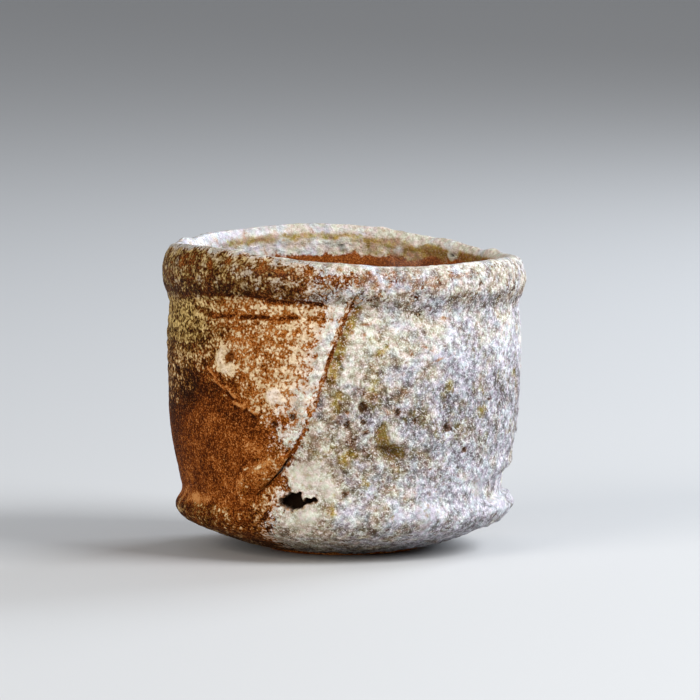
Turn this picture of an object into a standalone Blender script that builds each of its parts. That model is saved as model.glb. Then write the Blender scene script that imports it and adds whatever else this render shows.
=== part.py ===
# Sake cup of wood-fired stoneware, hand-built from clay members that are luted together:
# a wrapped wall slab with a lapped seam, a rim collar, a base slab, a coil pressed into the
# inside corner and a low foot ring. Metres, +Z up, origin on the table under the cup's middle.
# The photographed front faces -Y. Angles run from +X towards +Y.

import math

import bmesh
import bpy
from mathutils import Vector

# Driving dimensions
COLLAR_RADIUS = 0.0320
WALL_RADIUS = 0.0308
WAIST_RADIUS = 0.0282
FLANGE_RADIUS = 0.0297
FOOT_RADIUS = 0.0137
RIM_HEIGHT = 0.0529
COLLAR_FOOT_HEIGHT = 0.0442
WALL_FOOT_HEIGHT = 0.0097
FLANGE_HEIGHT = 0.0081
FLOOR_HEIGHT = 0.0080
WALL_THICKNESS = 0.0038
LIP_THICKNESS = 0.0034
JOINT_GAP = 0.0003

# Foot ring, keyed into a round seat under the base slab
SEAT_HEIGHT = 0.0026
FOOT_WIDTH = 0.0045
FOOT_SHOWN = 0.0007
FOOT_EDGE = 0.0006

# Coil in the inside corner
COIL_RISE = 0.0042
COIL_REACH = 0.0040
COIL_EDGE = 0.0006

# Lapped seam of the wall slab: its left end lies over its right end
LAP_RISE = 0.00045
LAP_CREVICE = 0.00045
LAP_EDGE_ANGLE = math.radians(1.1)
LAP_FADE_LEFT = math.radians(24)
LAP_FADE_RIGHT = math.radians(11)
COLLAR_LAP_SHARE = 0.45
SKIN_RADIUS = 0.0279
SKIN_DEPTH = 0.0011

# Seam path: angle at mid height, then its lean as a cubic of the height share
SEAM_MID_HEIGHT = 0.031
SEAM_HALF_HEIGHT = 0.020
SEAM_ANGLE = math.radians(-97.6)
SEAM_LEAN = tuple(math.radians(lean) for lean in (12.3, -4.4, 9.4))

# Waves of the rim: turns per round, height and direction of a crest
RIM_WAVES = (
    (1, 0.00139, math.radians(171)),
    (2, 0.00049, math.radians(84)),
    (3, 0.00076, math.radians(-23)),
)
COLLAR_FOOT_FRONT_RISE = 0.00090
COLLAR_FOOT_CREST = 0.00125
COLLAR_FOOT_CREST_ANGLE = math.radians(-122)
COLLAR_FOOT_CREST_WIDTH = math.radians(20)

# Out-of-round of the hand-shaped wall: lobes, depth, direction and twist up the height
WALL_LOBES = (
    (2, 0.00006, math.radians(90), 0.0),
    (3, 0.00020, math.radians(-120), math.radians(25)),
    (5, 0.00016, math.radians(-36), math.radians(30)),
)

# Finger marks pressed into the outer skin: angle, height, half width, half height, push
FINGER_MARKS = (
    (math.radians(2), 0.0120, math.radians(24), 0.0026, -0.00095),
    (math.radians(180), 0.0382, math.radians(26), 0.0045, 0.00030),
    (math.radians(-58), 0.0260, math.radians(20), 0.0080, -0.00040),
    (math.radians(-148), 0.0205, math.radians(16), 0.0060, -0.00045),
    (math.radians(118), 0.0270, math.radians(24), 0.0080, -0.00050),
    (math.radians(55), 0.0190, math.radians(20), 0.0070, -0.00040),
)
WAIST_FILL = 0.0009
WAIST_HEIGHT = 0.0110
WAIST_SPREAD = 0.0024
FLANGE_FRONT_TRIM = 0.0006
FLANGE_SPREAD = 0.0022

# Facets
COLUMNS = 80
COLUMN_PULL = 0.65
SMALL_RING_COLUMNS = 48
SMOOTH_ANGLE = math.radians(50)


def bump(distance, width):
    """A smooth hill: 1 at no distance, fading over the width."""
    return math.exp(-((distance / width) ** 2))


def turn_between(angle, other):
    """The signed turn from one direction to another, within half a round."""
    return (angle - other + math.pi) % (2 * math.pi) - math.pi


def share(value, low, high):
    """Where the value lies between low and high, from 0 to 1."""
    return min(1.0, max(0.0, (value - low) / (high - low)))


def seam_angle(height):
    """The direction of the lapped seam at a height. It leans to the left going down."""
    level = (max(height, WALL_FOOT_HEIGHT) - SEAM_MID_HEIGHT) / SEAM_HALF_HEIGHT
    return SEAM_ANGLE + sum(lean * level ** (i + 1) for i, lean in enumerate(SEAM_LEAN))


def rim_wave(angle):
    return sum(rise * math.cos(turns * (angle - crest)) for turns, rise, crest in RIM_WAVES)


def collar_foot_wave(angle):
    crest = bump(turn_between(angle, COLLAR_FOOT_CREST_ANGLE), COLLAR_FOOT_CREST_WIDTH)
    return COLLAR_FOOT_CREST * crest - COLLAR_FOOT_FRONT_RISE * math.sin(angle)


def lift(angle, height):
    """How far the uneven rim and collar raise the clay at a place."""
    wall_share = share(height, WALL_FOOT_HEIGHT, COLLAR_FOOT_HEIGHT)
    collar_share = share(height, COLLAR_FOOT_HEIGHT, RIM_HEIGHT)
    low, high = collar_foot_wave(angle), rim_wave(angle)
    return low * wall_share + (high - low) * collar_share


def lap_push(from_seam, height):
    """The step of the lapped seam: a raised left end, a crevice, then the covered right end."""
    strength = 1.0 if height < COLLAR_FOOT_HEIGHT else COLLAR_LAP_SHARE
    fade = LAP_FADE_LEFT if from_seam < 0 else LAP_FADE_RIGHT
    step = -math.tanh(from_seam / LAP_EDGE_ANGLE) * math.exp(-abs(from_seam) / fade)
    crevice = bump(from_seam, LAP_EDGE_ANGLE)
    faded = share(height, WALL_FOOT_HEIGHT, WALL_FOOT_HEIGHT + 2 * WAIST_SPREAD)
    return faded * strength * (LAP_RISE * step - LAP_CREVICE * crevice)


def body_push(angle, height):
    """Out-of-round of the whole wall, inside and out."""
    level = height / RIM_HEIGHT
    return level * sum(
        depth * math.cos(lobes * (angle - crest - twist * level))
        for lobes, depth, crest, twist in WALL_LOBES
    )


def skin_push(angle, height):
    """What is pressed into the outer skin alone: finger marks, and the waist and the flange
    smoothed into one slope at the front and the back."""
    marks = sum(
        push * bump(turn_between(angle, at), wide) * bump(height - up, tall)
        for at, up, wide, tall, push in FINGER_MARKS
    )
    fill = WAIST_FILL * bump(height - WAIST_HEIGHT, WAIST_SPREAD)
    trim = FLANGE_FRONT_TRIM * bump(height - FLANGE_HEIGHT + FLANGE_SPREAD / 4, FLANGE_SPREAD)
    return marks + (fill - trim) * math.sin(angle) ** 2


def shaped(point):
    """A point of the turned form, moved to where the hands left it. The turned seam is at +X."""
    radius = math.hypot(point.x, point.y)
    turned = turn_between(math.atan2(point.y, point.x), 0.0)
    from_seam = turned - COLUMN_PULL * math.sin(turned)
    angle = seam_angle(point.z) + from_seam
    skin = share(radius, SKIN_RADIUS, SKIN_RADIUS + SKIN_DEPTH)
    push = body_push(angle, point.z) * share(radius, 0.0, WAIST_RADIUS)
    push += skin * (skin_push(angle, point.z) + lap_push(from_seam, point.z))
    out = radius + push
    return Vector((out * math.cos(angle), out * math.sin(angle), point.z + lift(angle, point.z)))


def curve_through(points, steps):
    """A smooth line through the points, with steps spans between each pair."""
    ends = [points[0], *points, points[-1]]
    line = []
    for before, start, end, after in zip(ends, ends[1:], ends[2:], ends[3:]):
        for step in range(steps):
            t = step / steps
            line.append(
                tuple(
                    0.5 * (2 * b + (c - a) * t + (2 * a - 5 * b + 4 * c - d) * t * t
                           + (3 * b - a - 3 * c + d) * t ** 3)
                    for a, b, c, d in zip(before, start, end, after)
                )
            )
    return [*line, points[-1]]


def turned_body(outline, columns):
    """The solid that a closed outline of (radius, height) points sweeps round the Z axis."""
    form = bmesh.new()
    corners = [form.verts.new((radius, 0.0, height)) for radius, height in outline]
    edges = [form.edges.new(pair) for pair in zip(corners, corners[1:] + corners[:1])]
    bmesh.ops.spin(
        form, geom=corners + edges, axis=(0, 0, 1), cent=(0, 0, 0),
        angle=2 * math.pi, steps=columns, use_merge=True,
    )
    bmesh.ops.remove_doubles(form, verts=form.verts, dist=JOINT_GAP / 100)
    on_axis = [edge for edge in form.edges if not edge.link_faces]
    bmesh.ops.delete(form, geom=on_axis, context="EDGES")
    bmesh.ops.recalc_face_normals(form, faces=form.faces)
    return form


def make_node(name, form, material):
    mesh = bpy.data.meshes.new(name)
    form.to_mesh(mesh)
    form.free()
    mesh.shade_smooth()
    mesh.set_sharp_from_angle(angle=SMOOTH_ANGLE)
    mesh.materials.append(material)
    node = bpy.data.objects.new(name, mesh)
    bpy.context.scene.collection.objects.link(node)
    return node


def clay(name, colour, roughness):
    material = bpy.data.materials.new(name)
    material.use_nodes = True
    surface = material.node_tree.nodes["Principled BSDF"]
    surface.inputs["Base Color"].default_value = (*colour, 1.0)
    surface.inputs["Roughness"].default_value = roughness
    surface.inputs["Metallic"].default_value = 0.0
    return material


def hand_shape(form):
    for corner in form.verts:
        corner.co = shaped(corner.co)
    return form


# Inner faces of the wall, shared by the wall and the coil that is pressed against it
INNER_FOOT_RADIUS = WAIST_RADIUS - 0.72 * WALL_THICKNESS
INNER_BELLY_RADIUS = WALL_RADIUS - WALL_THICKNESS
INNER_TOP_RADIUS = COLLAR_RADIUS - LIP_THICKNESS - 0.0006
BEVEL_TOP_HEIGHT = RIM_HEIGHT - 0.0029
BEVEL_TOP_WIDTH = 0.0010
NECK_RADIUS = WALL_RADIUS - 0.0004


def wall_slab(material):
    """The wrapped slab. Its top edge is bevelled up to the inside, to take the collar."""
    height = COLLAR_FOOT_HEIGHT - WALL_FOOT_HEIGHT
    outside = curve_through(
        [
            (WAIST_RADIUS - 0.0001, WALL_FOOT_HEIGHT),
            (WAIST_RADIUS + 0.0003, WALL_FOOT_HEIGHT + 0.06 * height),
            (WALL_RADIUS - 0.0013, WALL_FOOT_HEIGHT + 0.18 * height),
            (WALL_RADIUS - 0.0002, WALL_FOOT_HEIGHT + 0.36 * height),
            (WALL_RADIUS, WALL_FOOT_HEIGHT + 0.55 * height),
            (WALL_RADIUS + 0.0001, WALL_FOOT_HEIGHT + 0.80 * height),
            (NECK_RADIUS, COLLAR_FOOT_HEIGHT - JOINT_GAP),
        ],
        2,
    )
    bevel = [
        (INNER_TOP_RADIUS + BEVEL_TOP_WIDTH, BEVEL_TOP_HEIGHT - JOINT_GAP),
        (INNER_TOP_RADIUS, BEVEL_TOP_HEIGHT),
    ]
    inside = curve_through(
        [
            (INNER_TOP_RADIUS - 0.0005, BEVEL_TOP_HEIGHT - 0.0040),
            (INNER_BELLY_RADIUS, WALL_FOOT_HEIGHT + 0.62 * height),
            (INNER_BELLY_RADIUS - 0.0004, WALL_FOOT_HEIGHT + 0.33 * height),
            (INNER_FOOT_RADIUS, WALL_FOOT_HEIGHT),
        ],
        2,
    )
    form = turned_body([*outside, *bevel, *inside], COLUMNS)
    return make_node("wall_slab", hand_shape(form), material)


def rim_collar(material):
    """The thick coil set over the bevelled wall: it bulges outside and rounds into the lip."""
    height = RIM_HEIGHT - COLLAR_FOOT_HEIGHT
    lip_middle = COLLAR_RADIUS - 0.0006 - LIP_THICKNESS / 2
    inner_lip = INNER_TOP_RADIUS + 0.0001
    outside = curve_through(
        [
            (NECK_RADIUS + 0.0003, COLLAR_FOOT_HEIGHT + JOINT_GAP / 3),
            (COLLAR_RADIUS - 0.0004, COLLAR_FOOT_HEIGHT + 0.15 * height),
            (COLLAR_RADIUS, COLLAR_FOOT_HEIGHT + 0.46 * height),
            (COLLAR_RADIUS - 0.0004, COLLAR_FOOT_HEIGHT + 0.76 * height),
            (lip_middle + 0.0008, RIM_HEIGHT - 0.0003),
            (lip_middle - 0.0006, RIM_HEIGHT - 0.0001),
            (inner_lip, RIM_HEIGHT - 0.0014),
            (inner_lip - 0.0001, BEVEL_TOP_HEIGHT + JOINT_GAP),
        ],
        2,
    )
    joint = [(INNER_TOP_RADIUS + BEVEL_TOP_WIDTH + JOINT_GAP, BEVEL_TOP_HEIGHT)]
    form = turned_body([*outside, *joint], COLUMNS)
    return make_node("rim_collar", hand_shape(form), material)


def base_slab(material):
    """The floor. Its edge stands out below the wall as a flange and tapers under to the foot."""
    seat_radius = FOOT_RADIUS + JOINT_GAP
    under_height = FOOT_SHOWN
    top_height = WALL_FOOT_HEIGHT - JOINT_GAP
    floor = [
        (0.0, FLOOR_HEIGHT),
        (0.45 * WAIST_RADIUS, FLOOR_HEIGHT + 0.0002),
        (0.70 * WAIST_RADIUS, top_height - 0.0003),
        (0.80 * WAIST_RADIUS, top_height),
    ]
    flange = curve_through(
        [
            (WAIST_RADIUS - 0.0001, top_height),
            (FLANGE_RADIUS - 0.0004, FLANGE_HEIGHT + 0.0009),
            (FLANGE_RADIUS, FLANGE_HEIGHT - 0.0002),
            (FLANGE_RADIUS - 0.0004, FLANGE_HEIGHT - 0.0015),
            (FLANGE_RADIUS - 0.0014, FLANGE_HEIGHT - 0.0026),
        ],
        2,
    )
    taper = [
        (0.78 * FLANGE_RADIUS, 0.0033),
        (0.58 * FLANGE_RADIUS, under_height + 0.0004),
        (seat_radius + 0.0003, under_height),
        (seat_radius, under_height + 0.0003),
    ]
    seat = [(seat_radius, SEAT_HEIGHT), (0.0, SEAT_HEIGHT)]
    form = turned_body([*floor, *flange, *taper, *seat], COLUMNS)
    return make_node("base_slab", hand_shape(form), material)


def floor_coil(material):
    """The coil that seals the inside corner, pressed to a hollow curve by the fingertip."""
    foot = WALL_FOOT_HEIGHT
    out = INNER_FOOT_RADIUS - JOINT_GAP
    inner_slope = (INNER_BELLY_RADIUS - 0.0004 - INNER_FOOT_RADIUS) / (
        0.33 * (COLLAR_FOOT_HEIGHT - WALL_FOOT_HEIGHT)
    )
    top_out = out + inner_slope * COIL_RISE
    arc_steps = 4
    hollow = []
    for step in range(arc_steps + 1):
        turn = math.pi / 2 * step / arc_steps
        hollow.append(
            (
                out - COIL_REACH + (COIL_REACH - COIL_EDGE) * math.sin(turn),
                foot + COIL_RISE - (COIL_RISE - COIL_EDGE) * math.cos(turn),
            )
        )
    outline = [(out - COIL_REACH, foot), *hollow, (top_out - 0.0001, foot + COIL_RISE), (out, foot)]
    return make_node("floor_coil", turned_body(outline, SMALL_RING_COLUMNS), material)


def foot_ring(material):
    """The low ring that the cup stands on. Only its lowest edge shows below the base slab."""
    inner = FOOT_RADIUS - FOOT_WIDTH
    top = SEAT_HEIGHT - JOINT_GAP
    outline = [
        (inner, top),
        (FOOT_RADIUS, top),
        (FOOT_RADIUS, FOOT_SHOWN),
        (FOOT_RADIUS - FOOT_EDGE / 3, FOOT_EDGE / 3),
        (FOOT_RADIUS - FOOT_EDGE, 0.0),
        (inner + FOOT_EDGE, 0.0),
        (inner + FOOT_EDGE / 3, FOOT_EDGE / 3),
    ]
    return make_node("foot_ring", turned_body(outline, SMALL_RING_COLUMNS), material)


def main():
    for old in list(bpy.data.objects):
        bpy.data.objects.remove(old)
    ash_crust = clay("ash_crusted_clay", (0.42, 0.36, 0.29), 0.70)
    rim_ash = clay("rim_ash_clay", (0.30, 0.22, 0.15), 0.60)
    flashed = clay("fire_flashed_clay", (0.31, 0.15, 0.07), 0.70)
    inner_clay = clay("inner_clay", (0.33, 0.13, 0.05), 0.45)
    bare_clay = clay("bare_clay", (0.36, 0.15, 0.06), 0.80)
    wall_slab(ash_crust)
    rim_collar(rim_ash)
    base_slab(flashed)
    floor_coil(inner_clay)
    foot_ring(bare_clay)


main()
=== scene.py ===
import math

import bmesh
import bpy
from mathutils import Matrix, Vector, noise
from mathutils.bvhtree import BVHTree


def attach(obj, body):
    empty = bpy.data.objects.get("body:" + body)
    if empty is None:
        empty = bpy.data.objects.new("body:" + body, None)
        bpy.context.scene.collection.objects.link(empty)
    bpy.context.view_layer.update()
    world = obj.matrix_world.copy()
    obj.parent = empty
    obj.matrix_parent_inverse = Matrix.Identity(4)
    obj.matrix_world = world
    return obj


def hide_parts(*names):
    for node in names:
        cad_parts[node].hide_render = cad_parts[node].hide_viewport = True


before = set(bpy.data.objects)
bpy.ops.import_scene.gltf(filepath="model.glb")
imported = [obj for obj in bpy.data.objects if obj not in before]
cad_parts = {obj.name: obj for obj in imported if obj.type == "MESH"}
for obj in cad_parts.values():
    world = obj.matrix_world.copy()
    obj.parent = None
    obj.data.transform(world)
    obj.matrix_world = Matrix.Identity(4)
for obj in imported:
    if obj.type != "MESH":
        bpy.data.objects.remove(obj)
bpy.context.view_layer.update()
print("frame loaded:", ", ".join(sorted(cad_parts)))

mm = 0.001
zoneNames = ("ash", "warm", "straw", "hue", "grey", "olive", "rust", "speck", "darkMarksAndShade", "gloss")
zoneFloors = {"grey": -0.3}  # a little below 0 brightens the crust
zoneMost = 2.0

# Where the surface marks are: angle in degrees round the cup (the front is -90), height in mm
seam = {
    "midHeight": 31.0,
    "halfHeight": 20.0,
    "angle": -97.6,
    "lean": (12.3, -4.4, 9.4),
    "lowest": 11.0,
    "creviceDepth": 0.50,
    "creviceWidth": 0.28,
    "ridgeRise": 0.42,
    "ridgeOffset": -1.45,
    "ridgeWidth": 1.10,
}
ashFall = {"lowEdgeAngle": -111.5, "footShift": -5.5, "backEdge": 158.0, "backFade": 18.0}
speckleFoot = (
    (-260, 22.0), (-225, 26.0), (-190, 31.0), (-165, 28.5), (-150, 31.5), (-140, 33.0),
    (-134.6, 31.7), (-127.4, 29.7), (-122.3, 27.3), (-117, 25.9), (-112.5, 24.6), (-104, 22.5),
    (-90, 21.0),
)
scratch = {
    "path": ((-139.5, 34.2), (-135.4, 32.1), (-131.6, 30.4), (-127.0, 29.0), (-123.3, 27.3),
             (-119.0, 26.4), (-115.0, 25.2)),
    "rise": 0.46,
    "width": 0.32,
    "shadeDrop": 0.75,
    "shadeWidth": 0.40,
}
fold = {
    "path": ((-126.7, 14.0), (-123.7, 15.8), (-119.5, 17.4), (-114.1, 18.4), (-108.7, 19.8)),
    "rise": 0.70,
    "width": 0.58,
}
scoredLines = (
    {"path": ((-128, 46.5), (-114.2, 46.4), (-105.9, 45.9), (-96.7, 45.6), (-86.0, 44.8)),
     "depth": 0.36, "width": 0.25, "dark": 0.85},
    {"path": ((-172, 43.6), (-150.6, 43.6), (-140, 43.4), (-128.3, 42.9), (-115, 43.1),
              (-105, 43.3), (-96.5, 43.7)),
     "depth": 0.42, "width": 0.26, "dark": 0.85},
    {"path": ((-88, 43.1), (-75, 43.3), (-60, 43.5), (-48, 43.4)),
     "depth": 0.20, "width": 0.40, "dark": 0.25},
)
earMark = {"at": (-130.2, 35.5), "radius": 1.5, "width": 0.95, "rise": 0.55,
           "hollowAt": (-129.2, 36.0), "hollowWidth": 0.65, "hollow": 0.8}
pearl = {"at": (-112.5, 29.6), "radius": 1.5, "rise": 0.36}
pit = {"at": (-107.4, 11.3), "half": (2.2, 1.5), "depth": 2.0,
       "tailAt": (-102.2, 11.5), "tailHalf": (1.25, 0.62)}
crater = {"at": (-71.6, 22.7), "radius": 2.9, "width": 1.30, "depth": 1.2,
          "bump": 0.8, "bumpWidth": 1.7}

# Spots and patches: angle, height, size in mm
darkPits = (
    (-83.7, 28.0, 0.65), (-71.9, 26.9, 0.50), (-83.4, 25.2, 0.45), (-82.7, 23.3, 0.40),
    (-65.5, 25.2, 0.45), (-53.5, 23.7, 0.60), (-88.8, 24.9, 0.45), (-45.0, 19.5, 0.45),
    (-89.4, 12.7, 0.50), (-106.5, 26.2, 0.60), (-112.5, 24.9, 0.45),
)
olivePatches = (
    (-87.8, 19.1, 2.4), (-93.5, 10.3, 2.0), (-83.4, 13.9, 2.2), (-91.1, 28.7, 2.2),
    (-55.5, 30.5, 2.0), (-37.2, 26.6, 2.0), (-76.5, 37.7, 1.5), (-74.8, 20.6, 1.9),
    (-77.3, 23.4, 1.5), (-14, 31.0, 2.4), (6, 22.5, 2.6), (22, 36.0, 2.2), (37, 18.0, 2.6),
    (55, 29.0, 2.4), (16, 42.5, 1.9),
)
creamPatches = (
    (-84.7, 39.5, 4.5), (-71.5, 40.2, 3.5), (-58.0, 39.5, 4.0), (-61.0, 35.7, 3.0),
    (-103.6, 15.8, 4.6), (-103.9, 8.6, 3.4), (-95.0, 13.5, 2.5), (-88.0, 33.0, 3.0),
    (-97.0, 22.0, 3.0), (-24, 39.5, 3.6), (-2, 37.0, 4.0), (14, 14.0, 3.6), (29, 28.0, 4.2),
    (44, 40.0, 4.0),
)
brownStains = (
    (-87.2, 40.9, 0.6), (-83.2, 40.5, 0.6), (-93.5, 39.1, 0.7), (-91.8, 41.5, 0.7),
    (-108.9, 16.0, 0.9), (-79.5, 30.0, 0.7), (-70.0, 33.5, 0.6), (-95.5, 33.0, 0.6),
    (-99.0, 25.5, 0.7), (-88.5, 27.0, 0.6),
)
# Painted shade: darker patches on the bare clay, mostly towards the left edge
paintedShadePatches = ((-146, 17.0, 4.5), (-168, 21.0, 4.0), (-120, 27.5, 2.0), (-152, 30.0, 4.0))
# Painted warm highlights: bare clay lightened as if lit, and the left flange tip
paintedGlowPatches = ((-131, 21.0, 3.0), (-122, 19.5, 2.5), (-158, 26.0, 3.0), (-161, 10.5, 1.8))
rustSpots = (
    (-129.1, 52.4, 0.9), (-116.8, 51.9, 1.1), (-107.1, 51.7, 0.9), (-100.6, 51.4, 0.9),
    (-91.1, 51.6, 1.0), (-82.0, 50.9, 0.9), (-73.5, 50.7, 1.2), (-65.1, 50.9, 1.0),
    (-146.0, 52.6, 1.0), (-60.0, 48.6, 0.9),
)
glossAndHighlightPatches = ((-35.1, 11.9, 2.2), (-59.2, 8.2, 2.6), (-70.3, 9.0, 2.0), (-20.0, 9.0, 2.4))
orangeLines = (
    ((-67.5, 36.4), (-66.0, 34.3)),
    ((-60.2, 37.2), (-56.0, 35.9), (-51.4, 36.6)),
    ((-80.5, 42.4), (-76.5, 42.6)),
    ((-53.0, 42.6), (-49.5, 42.4)),
)
innerBeads = ((90, 3.3), (100, 4.2), (46, 1.9))  # angle, and mm below the rim


def clamp(value):
    return min(1.0, max(0.0, value))


def ease(low, high, value):
    t = clamp((value - low) / (high - low))
    return t * t * (3 - 2 * t)


def hill(distance, width):
    return math.exp(-((distance / width) ** 2))


def waves(place, size):  # soft unevenness from -1 to 1, with swells about this many mm apart
    return noise.noise(place / (size * mm))


def grains(place, size):  # rounded grains from 0 to 1
    return max(0.0, 1.0 - noise.voronoi(place / (size * mm))[0][0])


def turnBetween(angle, other):
    return (angle - other + 180.0) % 360.0 - 180.0


arcStep = 0.535  # mm of wall for one degree
innerArcStep = 0.47  # the same inside the lip


def gapTo(angle, height, at):  # mm along the wall from a mark, sideways and up
    return turnBetween(angle, at[0]) * arcStep, height - at[1]


def nearPatch(angle, height, place, patches):  # 1 in the middle of a patch with an uneven edge
    most = 0.0
    angle += 4 * waves(place, 3.4)
    height += 2 * waves(place + Vector((0.05, 0, 0)), 3.4)
    for at, up, size in patches:
        across, rise = gapTo(angle, height, (at, up))
        if abs(across) < 3 * size and abs(rise) < 3 * size:
            most = max(most, hill(math.hypot(across, rise), size))
    return most


def nearSpot(angle, height, spots, spread=1.0):  # 1 in the middle of a small round spot
    return max(hill(math.hypot(*gapTo(angle, height, spot)), spread * spot[2]) for spot in spots)


def pathGap(angle, height, path):  # mm to a drawn line, and how far along it, from 0 to 1
    best, along = math.inf, 0.0
    spans = len(path) - 1
    for i in range(spans):
        ax, az = gapTo(angle, height, path[i])
        bx, bz = gapTo(angle, height, path[i + 1])
        dx, dz = bx - ax, bz - az
        t = clamp((ax * dx + az * dz) / (dx * dx + dz * dz))
        gap = math.hypot(ax - t * dx, az - t * dz)
        if gap < best:
            best, along = gap, (i + t) / spans
    return best, along


def heightOn(path, angle):  # height of a line of (angle, height) points at this angle
    if angle <= path[0][0]:
        return path[0][1]
    for (a, low), (b, high) in zip(path, path[1:]):
        if angle <= b:
            return low + (high - low) * (angle - a) / (b - a)
    return path[-1][1]


def seamAngle(height):
    level = (max(height, seam["lowest"]) - seam["midHeight"]) / seam["halfHeight"]
    return seam["angle"] + sum(lean * level ** (i + 1) for i, lean in enumerate(seam["lean"]))


# Dents and lifts of the lip: angle, half width in degrees, mm
lipTouches = (
    (160, 4, 0.50), (153.5, 2.5, -0.15), (143, 12, 0.38), (76, 2.5, 0.35), (50, 5, 0.36),
    (27, 3.5, 0.42), (34, 3, -0.15), (-88, 9, 0.30), (-120, 5, -0.10),
)


def lipLift(angle):
    return sum(lift * hill(turnBetween(angle, at), wide) for at, wide, lift in lipTouches)


# Rim and collar foot heights round the cup, read from the collar's own solid
ringSteps = 72


def ringHeights(node, pick):
    found = [[] for step in range(ringSteps)]
    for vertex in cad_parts[node].data.vertices:
        angle = math.degrees(math.atan2(vertex.co.y, vertex.co.x))
        found[int((angle + 180) / 360 * ringSteps) % ringSteps].append(vertex.co.z / mm)
    lastSeen = pick(height for heights in found for height in heights)
    heights = []
    for group in found:
        lastSeen = pick(group) if group else lastSeen
        heights.append(lastSeen)
    return heights


rimHeights = ringHeights("rim_collar", max)
collarFeet = ringHeights("rim_collar", min)


def ringHeight(heights, angle):
    spot = (angle + 180) / 360 * ringSteps - 0.5
    step = math.floor(spot)
    low, high = heights[step % ringSteps], heights[(step + 1) % ringSteps]
    return low + (spot - step) * (high - low)


def crustRise(place):
    return 0.22 * waves(place, 3.1) + 0.15 * waves(place, 1.5) + 0.32 * (grains(place, 1.6) - 0.45)


def clayRise(place):
    return 0.06 * waves(place, 1.7) + 0.05 * waves(place, 0.9)


# Tone of the ash crust: hue (cool 0, warm 1), grey, olive and rust, and its cream patches; the
# cooler hue on the right is painted cool window light
def crustTone(angle, height, place):
    broad = waves(place, 7.0)
    level = height + 1.6 * broad
    middle = ease(36, 30, level) * ease(15, 21, level)
    # painted shade greys the crust low down towards the foot
    low = ease(9.0, 6.0, level)
    belt = ease(20.5, 17.5, level) * ease(11.0, 15.0, level)
    rightAndCoolLit = ease(-84, -40, angle) if angle < 90 else 0.6
    cream = nearPatch(angle, height, place, creamPatches)
    grey = 0.24 + 0.28 * middle + 0.14 * belt + 0.36 * low + 0.06 * rightAndCoolLit - 0.24 * cream
    # cooler on the right: painted cool light from the window, plus less olive and rust there
    hue = 0.66 - 0.66 * rightAndCoolLit * ease(46, 32, height) - 0.28 * rightAndCoolLit + 0.6 * cream - 0.12 * low
    hue += 0.18 * waves(place, 4.0) + 0.35 * ease(25, 17, height) * ease(-82, -102, angle)
    drift = ease(-0.25, 0.5, waves(place + Vector((0.03, 0, 0)), 4.2))
    olive = 0.14 + drift * (0.26 + 0.30 * middle) * (1 - 0.4 * rightAndCoolLit)
    olive = max(olive, 0.9 * nearPatch(angle, height, place, olivePatches))
    stain = ease(-0.2, 0.5, waves(place + Vector((0, 0.04, 0)), 2.6))
    rust = 0.14 + stain * (0.22 + 0.30 * middle) * (1 - 0.5 * rightAndCoolLit)
    return hue, max(0.0, grey), olive, rust, cream


# How far the ash crust covers the clay here, and mm in from the crust's edge
def ashCover(angle, height, place):
    mid, broad = waves(place, 2.2), waves(place, 5.5)
    lowEdge = ashFall["lowEdgeAngle"] + ashFall["footShift"] * ease(11, 5, height)
    turn = turnBetween(angle, max(seamAngle(height), lowEdge))
    turn += 360 if turn < -120 else 0
    crisp, soft = ease(20, 27, height), ease(14, 10, height)
    cover = ease(-3.2 + 2.2 * crisp - 2.6 * soft, 4.4 - 3.4 * crisp, turn * arcStep + 1.2 * mid)
    edge = ashFall["backEdge"] + 16 * broad
    cover *= 1 - ease(edge - ashFall["backFade"], edge + ashFall["backFade"], turn)
    return cover, min(turn, edge - turn) * arcStep


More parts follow.
